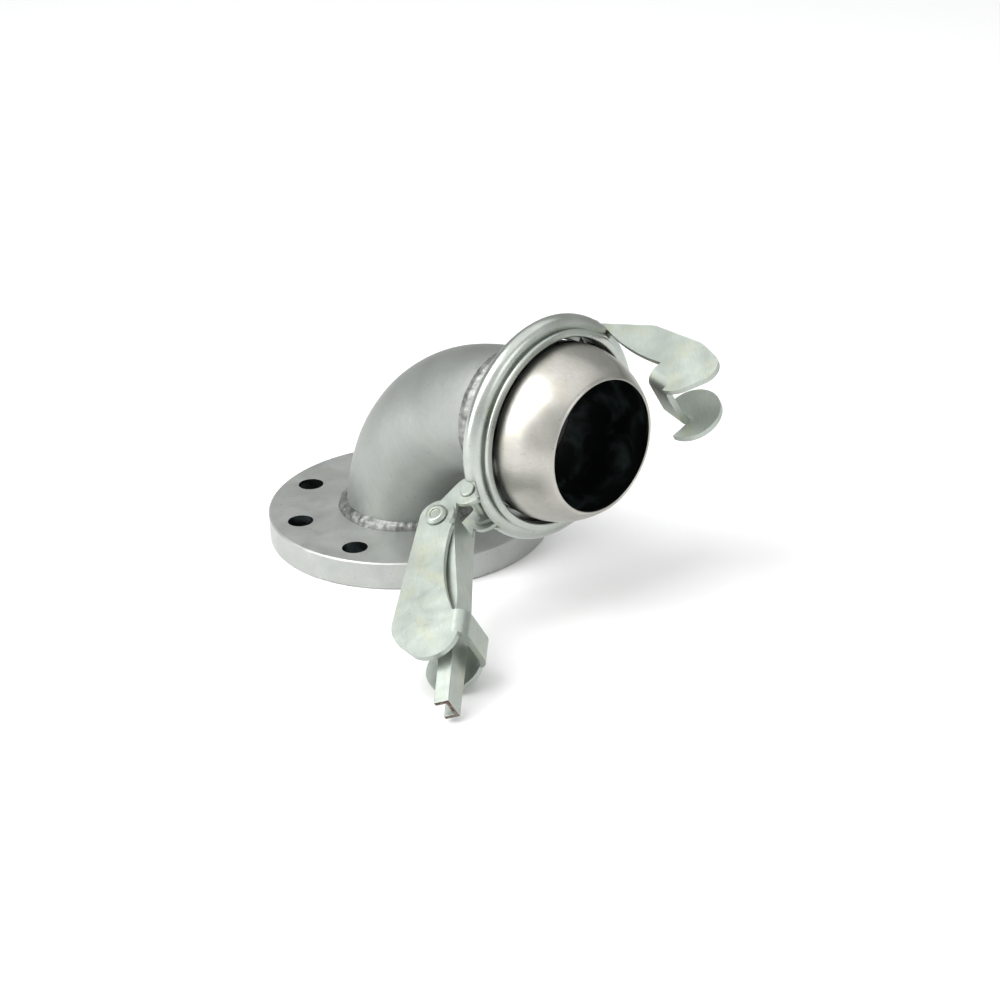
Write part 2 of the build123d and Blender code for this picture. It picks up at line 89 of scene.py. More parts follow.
class Graph:
    """Small helper that lays shader nodes into one material."""

    def __init__(self, name: str) -> None:
        """Start a material with an empty graph.

        Args:
            name: Name of the material.
        """
        self.material = bpy.data.materials.new(name)
        self.material.use_nodes = True
        self.tree = self.material.node_tree
        self.tree.nodes.clear()
        self.place = self.add("ShaderNodeTexCoord").outputs["Object"]

    def add(self, kind: str, **settings: object) -> bpy.types.Node:
        """Add a node.

        Args:
            kind: Blender's name of the node type.
            **settings: Attributes to set on the node.

        Returns:
            The new node.
        """
        node = self.tree.nodes.new(kind)
        for key, value in settings.items():
            setattr(node, key, value)
        return node

    def link(self, source: bpy.types.NodeSocket, target: bpy.types.NodeSocket) -> None:
        """Join an output to an input."""
        self.tree.links.new(source, target)

    def stretched(self, scale: Sequence[float],
                  turn: Sequence[float] = (0, 0, 0)) -> bpy.types.NodeSocket:
        """Object coordinates turned and stretched.

        Args:
            scale: Factor along each turned axis.
            turn: Turn about each axis in degrees.

        Returns:
            The mapped coordinates.
        """
        turned = self.add("ShaderNodeMapping")
        turned.inputs["Rotation"].default_value = [math.radians(angle) for angle in turn]
        self.link(self.place, turned.inputs["Vector"])
        mapped = self.add("ShaderNodeMapping")
        mapped.inputs["Scale"].default_value = scale
        self.link(turned.outputs["Vector"], mapped.inputs["Vector"])
        return mapped.outputs["Vector"]

    def noise(self, size: float, detail: float = 3.0, place: bpy.types.NodeSocket | None = None,
              distortion: float = 0.0) -> bpy.types.NodeSocket:
        """Cloudy noise.

        Args:
            size: Width of a cloud in metres.
            detail: Number of finer layers.
            place: Coordinates, or the object's own.
            distortion: How much the clouds are pulled about.

        Returns:
            The noise value.
        """
        node = self.add("ShaderNodeTexNoise")
        node.inputs["Scale"].default_value = 1 / size
        node.inputs["Detail"].default_value = detail
        node.inputs["Distortion"].default_value = distortion
        self.link(place or self.place, node.inputs["Vector"])
        return node.outputs["Fac"]

    def cells(self, size: float) -> bpy.types.NodeSocket:
        """Random grey for each crystal of the zinc.

        Args:
            size: Width of a crystal in metres.

        Returns:
            A value that is flat inside each cell.
        """
        node = self.add("ShaderNodeTexVoronoi")
        node.inputs["Scale"].default_value = 1 / size
        self.link(self.place, node.inputs["Vector"])
        split = self.add("ShaderNodeSeparateColor")
        self.link(node.outputs["Color"], split.inputs["Color"])
        return split.outputs["Red"]

    def span(self, value: bpy.types.NodeSocket, source: Point2, target: Point2) -> bpy.types.NodeSocket:
        """Map a value from one range to another, with its ends held.

        Args:
            value: The value to map.
            source: Low and high of the incoming range.
            target: Low and high of the outgoing range.

        Returns:
            The mapped value.
        """
        node = self.add("ShaderNodeMapRange")
        names = ("From Min", "From Max", "To Min", "To Max")
        for name, number in zip(names, (*source, *target)):
            node.inputs[name].default_value = number
        self.link(value, node.inputs["Value"])
        return node.outputs["Result"]

    def mix(self, factor: bpy.types.NodeSocket, first: object, second: object) -> bpy.types.NodeSocket:
        """Mix two colours, each a socket or a colour.

        Args:
            factor: Share of the second colour.
            first: Colour at 0.
            second: Colour at 1.

        Returns:
            The mixed colour.
        """
        node = self.add("ShaderNodeMix", data_type="RGBA")
        self.link(factor, node.inputs[MIX_FACTOR])
        for socket, value in ((node.inputs[MIX_FIRST], first), (node.inputs[MIX_SECOND], second)):
            if isinstance(value, bpy.types.NodeSocket):
                self.link(value, socket)
            else:
                socket.default_value = (*value, 1.0)
        return node.outputs[MIX_RESULT]

    def sum(self, parts: Sequence[tuple[bpy.types.NodeSocket, float]]) -> bpy.types.NodeSocket:
        """Add several values, each times its own weight.

        Args:
            parts: Value and weight of each part.

        Returns:
            The sum.
        """
        total = None
        for value, weight in parts:
            node = self.add("ShaderNodeMath", operation="MULTIPLY_ADD")
            self.link(value, node.inputs[0])
            node.inputs[1].default_value = weight
            node.inputs[2].default_value = 0.0
            if total is not None:
                self.link(total, node.inputs[2])
            total = node.outputs["Value"]
        return total

    def surface(self, colour: bpy.types.NodeSocket, roughness: bpy.types.NodeSocket,
                height: bpy.types.NodeSocket, depth: float, metallic: float) -> bpy.types.Material:
        """Finish the material.

        Args:
            colour: Base colour.
            roughness: Roughness.
            height: Height for the bump, from 0 to 1.
            depth: Depth of the bump in metres.
            metallic: How metallic the surface is.

        Returns:
            The material.
        """
        bump = self.add("ShaderNodeBump")
        bump.inputs["Distance"].default_value = depth
        self.link(height, bump.inputs["Height"])
        shader = self.add("ShaderNodeBsdfPrincipled")
        shader.inputs["Metallic"].default_value = metallic
        self.link(colour, shader.inputs["Base Color"])
        self.link(roughness, shader.inputs["Roughness"])
        self.link(bump.outputs["Normal"], shader.inputs["Normal"])
        output = self.add("ShaderNodeOutputMaterial")
        self.link(shader.outputs["BSDF"], output.inputs["Surface"])
        return self.material


@dataclass(frozen=True)
class ZincFinish:
    """Zinc coating with clouds, crystals, faint stains, specks and a fine grain.

    The sizes of clouds, crystals and grain are widths in metres, and streaks are drawn-out grain.
    """

    name: str
    light: Colour
    dark: Colour
    stain: Colour
    stain_share: float
    metallic: float
    roughness: Point2
    cloud: float
    crystal: float
    crystal_share: float
    grain: float
    grain_depth: float
    streaks: tuple[float, float, float] = (1.0, 1.0, 1.0)
    streak_turn: tuple[float, float, float] = (0.0, 0.0, 0.0)
    streak_share: float = 0.3
    cloud_span: ClassVar[Point2] = (0.3, 0.7)
    cloud_pull: ClassVar[float] = 0.4
    stain_size: ClassVar[float] = 0.7
    stain_span: ClassVar[Point2] = (0.52, 0.72)
    streak_span: ClassVar[Point2] = (0.35, 0.65)
    speck_span: ClassVar[Point2] = (0.7, 0.76)
    speck_share: ClassVar[float] = 0.5
    speck_tone: ClassVar[float] = 0.3
    gloss_span: ClassVar[Point2] = (0.0, 0.3)
    dent_size: ClassVar[float] = 0.5
    dent_weight: ClassVar[float] = 6.0

    def coating(self, graph: Graph, clouds: bpy.types.NodeSocket, crystals: bpy.types.NodeSocket,
                lines: bpy.types.NodeSocket) -> bpy.types.NodeSocket:
        """Lay clouds, crystals, stains, streaks and specks over each other.

        Args:
            graph: The material's graph.
            clouds: Share of the light colour.
            crystals: Share of the light colour in each crystal.
            lines: Drawn-out grain.

        Returns:
            The colour.
        """
        colour = graph.mix(clouds, self.dark, self.light)
        colour = graph.mix(crystals, colour, self.light)
        stained = graph.noise(self.cloud * self.stain_size, 5.0)
        stains = graph.span(stained, self.stain_span, (0.0, self.stain_share))
        colour = graph.mix(stains, colour, self.stain)
        drawn = graph.span(lines, self.streak_span, (0.0, self.streak_share))
        colour = graph.mix(drawn, colour, self.dark)
        specks = graph.span(graph.noise(self.grain * 3, 2.0), self.speck_span, (0.0, self.speck_share))
        return graph.mix(specks, colour, tuple(self.speck_tone * part for part in self.dark))

    def material(self) -> bpy.types.Material:
        """Lay out the finish as a material.

        Returns:
            The material.
        """
        graph = Graph(self.name)
        drift = graph.noise(self.cloud, 4.0, distortion=self.cloud_pull)
        clouds = graph.span(drift, self.cloud_span, (0.0, 1.0))
        crystals = graph.span(graph.cells(self.crystal), (0.0, 1.0), (0.0, self.crystal_share))
        lines = graph.noise(self.grain * 2, 2.0, graph.stretched(self.streaks, self.streak_turn))
        colour = self.coating(graph, clouds, crystals, lines)
        spread = self.roughness[1] - self.roughness[0]
        rough = graph.sum([(clouds, spread), (lines, 0.1), (crystals, 0.3)])
        rough = graph.span(rough, self.gloss_span, self.roughness)
        dents = graph.noise(self.cloud * self.dent_size, 2.0)
        height = graph.sum([(graph.noise(self.grain, 3.0), 1.0), (lines, 0.8), (dents, self.dent_weight)])
        return graph.surface(colour, rough, height, self.grain_depth, self.metallic)


@dataclass(frozen=True)
class PaintedBoreShade:
    """Painted shade for the inside of the pipe and other hollows: near black, with patches of painted teal
    reflection.
    """

    name: str = "painted_bore_shade"
    shade_black: Colour = (0.006, 0.007, 0.007)
    painted_reflection: Colour = (0.09, 0.13, 0.13)
    patch: float = 0.02
    patch_span: Point2 = (0.5, 0.8)
    roughness: Point2 = (0.35, 0.6)
    depth: float = 0.0001
    metallic: float = 0.3

    def material(self) -> bpy.types.Material:
        """Lay out the finish as a material.

        Returns:
            The material.
        """
        graph = Graph(self.name)
        # The patches mix the near-black painted shade with a painted teal reflection.
        patches = graph.span(graph.noise(self.patch, 5.0, distortion=0.6), self.patch_span, (0.0, 1.0))
        colour = graph.mix(patches, self.shade_black, self.painted_reflection)
        rough = graph.span(patches, (0.0, 1.0), self.roughness)
        return graph.surface(colour, rough, graph.noise(0.002, 4.0), self.depth, self.metallic)


@dataclass(frozen=True)
class CutEnd:
    """Sawn or sheared end of the steel, browned where the zinc is thin."""

    name: str = "cut_end"
    brown: Colour = (0.09, 0.055, 0.035)
    grey: Colour = (0.22, 0.20, 0.18)
    patch: float = 0.003
    patch_span: Point2 = (0.4, 0.65)
    roughness: Point2 = (0.75, 0.5)
    saw_mark: float = 0.0006
    depth: float = 0.00008
    metallic: float = 0.5

    def material(self) -> bpy.types.Material:
        """Lay out the finish as a material.

        Returns:
            The material.
        """
        graph = Graph(self.name)
        patches = graph.span(graph.noise(self.patch, 4.0), self.patch_span, (0.0, 1.0))
        colour = graph.mix(patches, self.brown, self.grey)
        rough = graph.span(patches, (0.0, 1.0), self.roughness)
        lines = graph.noise(self.saw_mark, 3.0, graph.stretched((1.0, 6.0, 1.0)))
        return graph.surface(colour, rough, lines, self.depth, self.metallic)


class Finishes:
    """The finishes of the object, made once."""

    def __init__(self) -> None:
        """Make each finish."""
        stain = (0.44, 0.45, 0.35)
        self.plate = ZincFinish(
            "plate_finish", light=(0.48, 0.495, 0.48), dark=(0.37, 0.385, 0.37), stain=stain,
            stain_share=0.25, metallic=0.8, roughness=(0.42, 0.56), cloud=0.022, crystal=0.005,
            crystal_share=0.25, grain=0.0009, grain_depth=0.00003,
        ).material()
        self.pipe = ZincFinish(
            "pipe_finish", light=(0.41, 0.43, 0.41), dark=(0.31, 0.325, 0.31), stain=stain,
            stain_share=0.15, metallic=0.92, roughness=(0.44, 0.56), cloud=0.05, crystal=0.006,
            crystal_share=0.16, grain=0.0007, grain_depth=0.00005, streaks=(1.0, 1.0, 0.12),
            streak_turn=(0.0, 20.0, 0.0), streak_share=0.35,
        ).material()
        self.ball = ZincFinish(
            "ball_finish", light=(0.52, 0.505, 0.465), dark=(0.38, 0.375, 0.345),
            stain=(0.43, 0.36, 0.24), stain_share=0.45, metallic=0.95, roughness=(0.30, 0.42),
            cloud=0.03, crystal=0.006, crystal_share=0.2, grain=0.0008, grain_depth=0.00002,
            streaks=(0.15, 1.0, 1.0), streak_share=0.4,
        ).material()
        self.ring = ZincFinish(
            "ring_finish", light=(0.53, 0.56, 0.525), dark=(0.39, 0.42, 0.39), stain=(0.46, 0.48, 0.36),
            stain_share=0.3, metallic=0.92, roughness=(0.24, 0.36), cloud=0.025, crystal=0.004,
            crystal_share=0.15, grain=0.0006, grain_depth=0.00002,
        ).material()
        self.lever = ZincFinish(
            "lever_finish", light=(0.46, 0.50, 0.46), dark=(0.33, 0.365, 0.33), stain=(0.47, 0.47, 0.29),
            stain_share=0.5, metallic=0.85, roughness=(0.32, 0.46), cloud=0.02, crystal=0.004,
            crystal_share=0.15, grain=0.0006, grain_depth=0.00003, streaks=(1.0, 0.2, 0.2),
            streak_turn=(0.0, 0.0, -50.0), streak_share=0.35,
        ).material()
        self.weld = ZincFinish(
            "weld_finish", light=(0.38, 0.39, 0.375), dark=(0.10, 0.105, 0.10), stain=stain,
            stain_share=0.25, metallic=0.9, roughness=(0.42, 0.58), cloud=0.006, crystal=0.003,
            crystal_share=0.15, grain=0.0007, grain_depth=0.00006,
        ).material()
        # Painted shade for hollows and gaps: near black, with patches of painted reflection.
        self.bore_shade = PaintedBoreShade().material()
        self.cut = CutEnd().material()


FINISHES = Finishes()


def hang(piece: bpy.types.Object, body: Body, slot: Slot, *nodes: str) -> bpy.types.Object:
    """Tie a piece to its body and hide the nodes that it stands for.

    Args:
        piece: The finished object.
        body: The body that it rides on.
        slot: The record's material slot; not used.
        *nodes: Solids that the piece stands for.

    Returns:
        The same piece.
    """
    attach(piece, body.value)
    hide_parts(*nodes)
    log.info("%s rides on %s: %d faces", piece.name, body.value, len(piece.data.polygons))
    return piece


def mesh_object(name: str, shape: bmesh.types.BMesh, materials: Sequence[bpy.types.Material],
                smooth_angle: float = 35.0) -> bpy.types.Object:
    """Turn a working mesh into an object with smooth shading and crisp edges.

    Args:
        name: Name of the piece.
        shape: The working mesh, which is freed.
        materials: Its materials in slot order.
        smooth_angle: Largest angle in degrees that is shaded smooth.

    Returns:
        The new object.
    """
    bmesh.ops.recalc_face_normals(shape, faces=shape.faces)
    for edge in shape.edges:
        edge.smooth = len(edge.link_faces) == 2 and edge.calc_face_angle() < math.radians(smooth_angle)
    for face in shape.faces:
        face.smooth = True
    data = bpy.data.meshes.new(name)
    shape.to_mesh(data)
    shape.free()
    for material in materials:
        data.materials.append(material)
    piece = bpy.data.objects.new(name, data)
    bpy.context.scene.collection.objects.link(piece)
    return piece


def applied(piece: bpy.types.Object) -> bpy.types.Object:
    """Bake a piece's modifiers into its mesh.

    Args:
        piece: The object with modifiers.

    Returns:
        The same object without them.
    """
    graph = bpy.context.evaluated_depsgraph_get()
    graph.update()
    baked = bpy.data.meshes.new_from_object(piece.evaluated_get(graph))
    piece.modifiers.clear()
    old = piece.data
    piece.data = baked
    bpy.data.meshes.remove(old)
    return piece


def rounded(corners: Sequence[tuple[float, float, float]], steps: int = 5) -> list[Point2]:
    """Closed outline with each corner rounded.

    Args:
        corners: x, y and radius of each corner in millimetres.
        steps: Number of straight bits in each rounded corner.

    Returns:
        The outline's points in metres.
    """
    outline: list[Point2] = []
    for index, (x, y, radius) in enumerate(corners):
        here = Vector((x, y))
        if radius <= 0:
            outline.append(tuple(here * MM))
            continue
        back = Vector(corners[index - 1][:2]) - here
        ahead = Vector(corners[(index + 1) % len(corners)][:2]) - here
        half = back.angle(ahead) / 2
        reach = radius / math.tan(half)
        start, end = here + back.normalized() * reach, here + ahead.normalized() * reach
        centre = here + (back.normalized() + ahead.normalized()).normalized() * (radius / math.sin(half))
        first, last = start - centre, end - centre
        sweep = first.angle_signed(last)
        for step in range(steps + 1):
            turned = Matrix.Rotation(-sweep * step / steps, 2) @ first
            outline.append(tuple((centre + turned) * MM))
    return outline


class Axis(Enum):
    """The two axes that round pieces are turned about."""

    FLANGE = "flange"
    OUTLET = "outlet"


@dataclass(frozen=True)
class Sizes:
    """Driving sizes that several sub-assemblies share, in millimetres."""

    outlet_height: float = 119.3
    pipe_radius: float = 44.45
    pipe_bore: float = 41.25
    bend_radius: float = 114.3
    bend_start: float = 5.0
    seam_x: float = 111.3
    ball_centre: float = 156.3
    ball_radius: float = 60.4
    lever_station: float = 211.0
    claw_station: float = 31.0

    def place(self, axis: Axis, along: float, radius: float, angle: float) -> Vector:
        """Place of a point turned about an axis.

        Args:
            axis: The axis of the turning.
            along: Distance along it in metres.
            radius: Distance from it in metres.
            angle: Turn in radians.

        Returns:
            The point in metres.
        """
        if axis is Axis.FLANGE:
            return Vector((radius * math.cos(angle), radius * math.sin(angle), along))
        height = self.outlet_height * MM
        return Vector((along, radius * math.cos(angle), height + radius * math.sin(angle)))

    def station(self, angle: float) -> Matrix:
        """Frame of a ring station: x along the outlet, y outward, z along the tangent.

        Args:
            angle: Direction of the station in degrees.

        Returns:
            The frame as a matrix in metres.
        """
        turn = math.radians(angle)
        outward = Vector((0, math.cos(turn), math.sin(turn)))
        tangent = Vector((0, -math.sin(turn), math.cos(turn)))
        rows = Matrix((Vector((1, 0, 0)), outward, tangent)).transposed().to_4x4()
        rows.translation = (0, 0, self.outlet_height * MM)
        return rows


SIZES = Sizes()


def lathe(outline: Sequence[Point2], axis: Axis, segments: int,
          shape: Shape | None = None) -> bmesh.types.BMesh:
    """Turn a closed outline about an axis.

    Args:
        outline: Points as (along, radius) in metres.
        axis: The axis of the turning.
        segments: Number of steps round.
        shape: Optional change of each point, given the point, its turn and its share of the outline.

    Returns:
        The working mesh.
    """
    work = bmesh.new()
    rows = []
    for step in range(segments):
        angle = math.tau * step / segments
        row = []
        for index, (along, radius) in enumerate(outline):
            point = SIZES.place(axis, along, radius, angle)
            if shape:
                point = shape(point, angle, index / len(outline))
            row.append(work.verts.new(point))
        rows.append(row)
    count = len(outline)
    for step in range(segments):
        row, after = rows[step], rows[(step + 1) % segments]
        for index in range(count):
            other = (index + 1) % count
            work.faces.new((row[index], row[other], after[other], after[index]))
    return work


def bar(place: Matrix, outline: Sequence[Point2], start: float, end: float) -> bmesh.types.BMesh:
    """Straight bar of an outline, used to cut windows.

    Args:
        place: Frame of the bar.
        outline: Its outline in metres.
        start: Start along the frame's z in metres.
        end: End along it in metres.

    Returns:
        The working mesh.
    """
    work = bmesh.new()
    ends = [[work.verts.new(place @ Vector((x, y, z))) for x, y in outline] for z in (start, end)]
    work.faces.new(ends[0])
    work.faces.new(reversed(ends[1]))
    for index in range(len(outline)):
        other = (index + 1) % len(outline)
        work.faces.new((ends[0][index], ends[0][other], ends[1][other], ends[1][index]))
    bmesh.ops.recalc_face_normals(work, faces=work.faces)
    return work


def circle(radius: float, centre: Point2 = (0.0, 0.0), count: int = 48) -> list[Point2]:
    """Points of a circle in the units given."""
    turns = [math.tau * step / count for step in range(count)]
    return [(centre[0] + radius * math.cos(turn), centre[1] + radius * math.sin(turn)) for turn in turns]


def softened(node: str, name: str, materials: Sequence[bpy.types.Material], width: float,
             segments: int = 3) -> bpy.types.Object:
    """Copy a solid as a piece with its pressed edges rounded.

    Args:
        node: Name of the solid.
        name: Name of the piece.
        materials: Its materials.
        width: Width of the rounding in metres.
        segments: Steps in the rounding.

    Returns:
        The new object.
    """
    work = bmesh.new()
    work.from_mesh(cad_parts[node].data)
    bmesh.ops.remove_doubles(work, verts=work.verts, dist=MERGE_DISTANCE)
    bmesh.ops.dissolve_limit(work, angle_limit=FLAT_ANGLE, verts=work.verts, edges=work.edges)
    piece = mesh_object(name, work, materials)
    bevel = piece.modifiers.new("edge", "BEVEL")
    bevel.width = width
    bevel.segments = segments
    bevel.limit_method = "ANGLE"
    bevel.angle_limit = PRESSED_EDGE_ANGLE
    bevel.harden_normals = True
    return applied(piece)


@dataclass
class WeldBead:
    """Lumpy run of weld metal turned about an axis, with its sizes in millimetres.

    Each kind of lump is a pair: how many to the metre, and its share of the lump height.
    """

    axis: Axis
    outline: list[Point2]
    spacing: float
    ripple: float
    lump: float
    segments: int = 420
    seed: float = 0.0
    fine_lumps: ClassVar[Point2] = (260.0, 0.3)
    middling_lumps: ClassVar[Point2] = (130.0, 0.45)
    wide_lumps: ClassVar[Point2] = (55.0, 0.9)
    wander: ClassVar[float] = 6.0

    def core(self) -> Point2:
        """Middle of the outline, as (along, radius) in metres.

        Returns:
            Its place along the axis and its radius.
        """
        along = sum(point[0] for point in self.outline) / len(self.outline)
        radius = sum(point[1] for point in self.outline) / len(self.outline)
        return along, radius

    def shape(self, point: Vector, angle: float, _share: float) -> Vector:
        """Swell one point of the bead into ripples and lumps.

        Args:
            point: The point in metres.
            angle: Its turn about the axis in radians.

        Returns:
            The moved point.
        """
        along, radius = self.core()
        core = SIZES.place(self.axis, along, radius, angle)
        shift = Vector((self.seed, 0, 0))
        fine = noise.noise(point * self.fine_lumps[0] + shift)
        middling = noise.noise(point * self.middling_lumps[0] - shift)
        wide = noise.noise(core * self.wide_lumps[0] + shift)
        runs = round(math.tau * radius / (self.spacing * MM))
        phase = angle * runs + self.wander * wide
        lumps = self.fine_lumps[1] * fine + self.middling_lumps[1] * middling + self.wide_lumps[1] * wide
        swell = self.ripple * math.sin(phase) + self.lump * lumps
        return point + (point - core).normalized() * swell * MM

    def build(self, name: str) -> bpy.types.Object:
        """Build the bead.

        Args:
            name: Name of the piece.

        Returns:
            The new object.
        """
        work = lathe(self.outline, self.axis, self.segments, self.shape)
        return mesh_object(name, work, [FINISHES.weld], 80.0)


@dataclass
class FlangeEnd:
    """Plate flange with its welds.

    Sizes are in millimetres, except the two edges, which are widths in metres.
    """

    thickness: float = 20.0
    hole_span: Point2 = (66.0, 94.0)
    weld_toe: float = 50.3
    weld_top: float = 25.8
    weld_sunk: float = 0.4
    weld_inside: float = 1.5
    weld_shoulder: Point2 = (3.4, 1.8)
    weld_lip: float = 0.6
    plate_edge: float = 0.0007
    root_edge: float = 0.0004

    def weld_outline(self) -> list[Point2]:
        """Outline of the fillet weld's section.

        Returns:
            The outline in metres.
        """
        pipe, foot = SIZES.pipe_radius, self.thickness - self.weld_sunk
        rise, back = self.weld_shoulder
        return rounded([
            (foot, pipe - self.weld_inside, 0), (foot, self.weld_toe, 0.6),
            (self.thickness + rise, self.weld_toe - back, 3.0), (self.weld_top, pipe + self.weld_lip, 0.8),
            (self.weld_top, pipe - self.weld_inside, 0),
        ], 8)

    def build(self) -> None:
        """Build and dress the flange and its two welds."""
        plate = softened("flange", "flange_plate", [FINISHES.plate, FINISHES.bore_shade], self.plate_edge)
        # The bolt-hole walls take the painted bore shade: painted shadow inside the holes.
        for face in plate.data.polygons:
            reach = face.center.xy.length / MM
            in_hole = abs(face.normal.z) < 0.5 and self.hole_span[0] < reach < self.hole_span[1]
            face.material_index = int(in_hole)
        hang(plate, Body.ROOT, Slot.PLATE, "flange")
        bead = WeldBead(Axis.FLANGE, self.weld_outline(), spacing=5.5, ripple=0.10, lump=1.0, segments=540)
        hang(bead.build("flange_weld"), Body.ROOT, Slot.WELD, "flange_weld_outer")
        inner = softened("flange_weld_inner", "flange_root_weld", [FINISHES.weld], self.root_edge)
        hang(inner, Body.ROOT, Slot.WELD, "flange_weld_inner")


@dataclass
class PipeRun:
    """Bend and neck tube, with the weld that joins them, in millimetres."""

    rings: int = 96
    around: int = 128
    waver: float = 0.25
    wavers_to_a_metre: float = 28.0
    seam_spread: float = 2.6
    seam_inside: float = 0.8
    seam_side: float = 1.0
    seam_crown: float = 2.1

    def section(self, share: float) -> tuple[Vector, Vector]:
        """Centre and up direction of the bend's section.

        Args:
            share: Share of the way from the flange to the seam.

        Returns:
            Centre and the direction to the bend's outside.
        """
        reach = SIZES.bend_radius * MM
        last = math.acos((SIZES.bend_radius - SIZES.seam_x) / SIZES.bend_radius)
        angle = last * share
        outward = Vector((-math.cos(angle), 0, math.sin(angle)))
        return Vector((reach, 0, SIZES.bend_start * MM)) + outward * reach, outward

    def wall(self, work: bmesh.types.BMesh, radius: float) -> list[list[bmesh.types.BMVert]]:
        """Lay one wall of the bend.

        Args:
            work: The working mesh.
            radius: Radius of the wall in millimetres.

        Returns:
            Rows of its corners.
        """
        rows = []
        for step in range(self.rings + 1):
            centre, outward = self.section(step / self.rings)
            ahead = outward.cross(Vector((0, 1, 0)))
            row = []
            for spoke in range(self.around):
                turn = math.tau * spoke / self.around
                ray = outward * math.cos(turn) + Vector((0, 1, 0)) * math.sin(turn)
                point = centre + ray * radius * MM
                swell = self.waver * MM * noise.noise(point * self.wavers_to_a_metre)
                point += ray * swell * math.sin(math.pi * step / self.rings)
                if step == self.rings:
                    point += ahead * (SIZES.seam_x * MM - point.x) / ahead.x
                row.append(work.verts.new(point))
            rows.append(row)
        return rows

    def build(self) -> None:
        """Build and dress the bend, the neck and the weld."""
        work = bmesh.new()
        outer, inner = self.wall(work, SIZES.pipe_radius), self.wall(work, SIZES.pipe_bore)
        for spoke in range(self.around):
            other = (spoke + 1) % self.around
            for step in range(self.rings):
                # Slot 1, on the inside wall, is the painted bore shade.
                for rows, slot in ((outer, 0), (inner, 1)):
                    face = work.faces.new((rows[step][spoke], rows[step][other],
                                           rows[step + 1][other], rows[step + 1][spoke]))
                    face.material_index = slot
            for step in (0, self.rings):
                work.faces.new((outer[step][spoke], outer[step][other],
                                inner[step][other], inner[step][spoke]))
        bend = mesh_object("pipe_bend", work, [FINISHES.pipe, FINISHES.bore_shade])
        hang(bend, Body.ROOT, Slot.PIPE, "elbow")
        self.build_neck()
        self.build_seam()

    def build_neck(self) -> None:
        """Build and dress the neck tube."""
        start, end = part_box("neck_tube")
        outline = [(start.x, SIZES.pipe_bore * MM), (start.x, SIZES.pipe_radius * MM),
                   (end.x, SIZES.pipe_radius * MM), (end.x, SIZES.pipe_bore * MM)]
        work = lathe(outline, Axis.OUTLET, self.around)
        # Faces of the inside wall take the painted bore shade.
        for face in work.faces:
            middle = face.calc_center_median()
            radius = math.hypot(middle.y, middle.z - SIZES.outlet_height * MM)
            face.material_index = int(radius < SIZES.pipe_bore * MM + 1e-5)
        tube = mesh_object("neck_pipe", work, [FINISHES.pipe, FINISHES.bore_shade])
        hang(tube, Body.ROOT, Slot.PIPE, "neck_tube")

    def build_seam(self) -> None:
        """Build and dress the weld between the bend and the neck."""
        low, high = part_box("elbow_seam_weld")
        radius = SIZES.pipe_radius
        start, end = low.x / MM - self.seam_spread, high.x / MM
        outline = rounded([
            (start, radius - self.seam_inside, 0), (start, radius + self.seam_side, 0.5),
            ((start + end) / 2, radius + self.seam_crown, 3.0),
            (end, radius + self.seam_side, 0.5), (end, radius - self.seam_inside, 0),
        ])
        bead = WeldBead(Axis.OUTLET, outline, spacing=5.0, ripple=0.10, lump=0.6, segments=540, seed=3.0)
        hang(bead.build("seam_weld"), Body.ROOT, Slot.WELD, "elbow_seam_weld")


